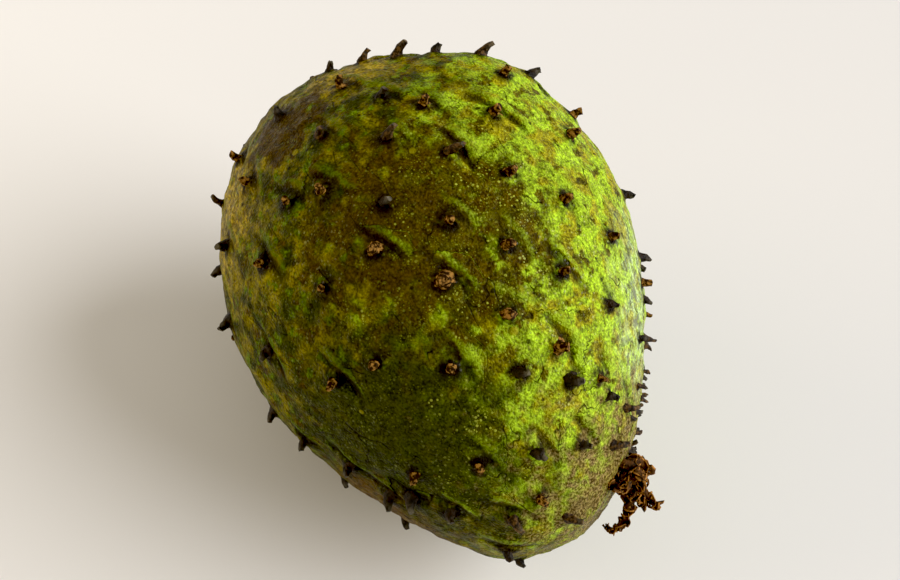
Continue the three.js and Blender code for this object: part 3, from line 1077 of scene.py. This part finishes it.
tuftHolder = bpy.data.objects.new("tuftPaths", tuftPaths())
bpy.context.scene.collection.objects.link(tuftHolder)
tuftValues = {
    "Branch Radius": tuftShape["branchRadius"] * mm,
    "Curl Every": tuftShape["curlEvery"],
    "Curl Size": tuftShape["curlSize"],
}
tuftMesh = useTree(tuftHolder, tuftTree(tuftMaterial()), tuftValues)
bpy.data.objects.remove(tuftHolder)
tuft = plainPiece("driedTuft", tuftMesh)
print("tuft:", len(tuftMesh.polygons), "faces")

tied = ((rind, "fruit", "rind"), (spinePiece, "fruit", "rind"), (tuft, "withered_tip", "dry_tuft"))
for piece, node, slotName in tied:
    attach(piece, "root")
    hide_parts(node)

# Floor, light and camera.
studio = {
    "floorColour": (0.84, 0.83, 0.82, 1),
    "floorRoughness": 0.75,
    "floorSize": 40.0,  # metres
    "worldColour": (1.0, 0.95, 0.87, 1),
    "blackLevel": 0.012,
    "worldStrength": 0.41,
    "windowFrom": (0.60, 0.85, 0.65),
    "windowSpread": 55,  # degrees
    "windowStrength": 3.3,
    "wallFrom": (-0.55, -0.85, 0.35),  # a warm wall on the other side, metres from the fruit's middle
    "wallSize": 0.8,
    "wallPower": 4.6,
    "wallColour": (1.0, 0.80, 0.50),
    "windowColour": (1.0, 0.99, 0.985),
    "cameraFrom": (196, -148, 292),  # millimetres from the fruit's middle
    "cameraAim": (2, 5, 1),
    "cameraRoll": 9.3,
    "lens": 48,
    "clipStart": 0.01,
}


def floorPiece():
    made = bmesh.new()
    bmesh.ops.create_grid(made, x_segments=1, y_segments=1, size=studio["floorSize"] / 2)
    mesh = bpy.data.meshes.new("floor")
    made.to_mesh(mesh)
    made.free()
    material, _, shader = newMaterial("floor")
    shader.inputs["Base Color"].default_value = studio["floorColour"]
    shader.inputs["Roughness"].default_value = studio["floorRoughness"]
    floor = plainPiece("floor", mesh, material)


def addWindow():
    light = bpy.data.lights.new("window", "SUN")
    light.angle = math.radians(studio["windowSpread"])
    light.energy = studio["windowStrength"]
    light.color = studio["windowColour"]
    lamp = bpy.data.objects.new("window", light)
    lamp.rotation_euler = (-Vector(studio["windowFrom"])).to_track_quat("-Z", "Y").to_euler()
    bpy.context.scene.collection.objects.link(lamp)


def addWall():
    light = bpy.data.lights.new("wall", "AREA")
    light.size = studio["wallSize"]
    light.energy = studio["wallPower"]
    light.color = studio["wallColour"]
    lamp = bpy.data.objects.new("wall", light)
    lamp.location = Vector(studio["wallFrom"]) + Vector(fruitMiddle) * mm
    lamp.rotation_euler = (-Vector(studio["wallFrom"])).to_track_quat("-Z", "Y").to_euler()
    bpy.context.scene.collection.objects.link(lamp)


def addCamera():
    camera = bpy.data.objects.new("camera", bpy.data.cameras.new("camera"))
    camera.data.lens = studio["lens"]
    camera.data.clip_start = studio["clipStart"]
    source = Vector(studio["cameraFrom"])
    ahead = Vector(studio["cameraAim"]) - source
    camera.location = (source + Vector(fruitMiddle)) * mm
    roll = Matrix.Rotation(math.radians(studio["cameraRoll"]), 3, "Z").to_quaternion()
    camera.rotation_mode = "QUATERNION"
    camera.rotation_quaternion = ahead.to_track_quat("-Z", "Y") @ roll
    bpy.context.scene.collection.objects.link(camera)
    bpy.context.scene.camera = camera


floorPiece()
addWindow()
addWall()
world = bpy.data.worlds.new("studio")
world.use_nodes = True
world.node_tree.nodes["Background"].inputs["Color"].default_value = studio["worldColour"]
world.node_tree.nodes["Background"].inputs["Strength"].default_value = studio["worldStrength"]
bpy.context.scene.world = world
view = bpy.context.scene.view_settings
view.view_transform = "Standard"
view.use_curve_mapping = True
view.curve_mapping.black_level = (studio["blackLevel"],) * 3  # keeps the darkest greens deep
addCamera()
print("studio ready")
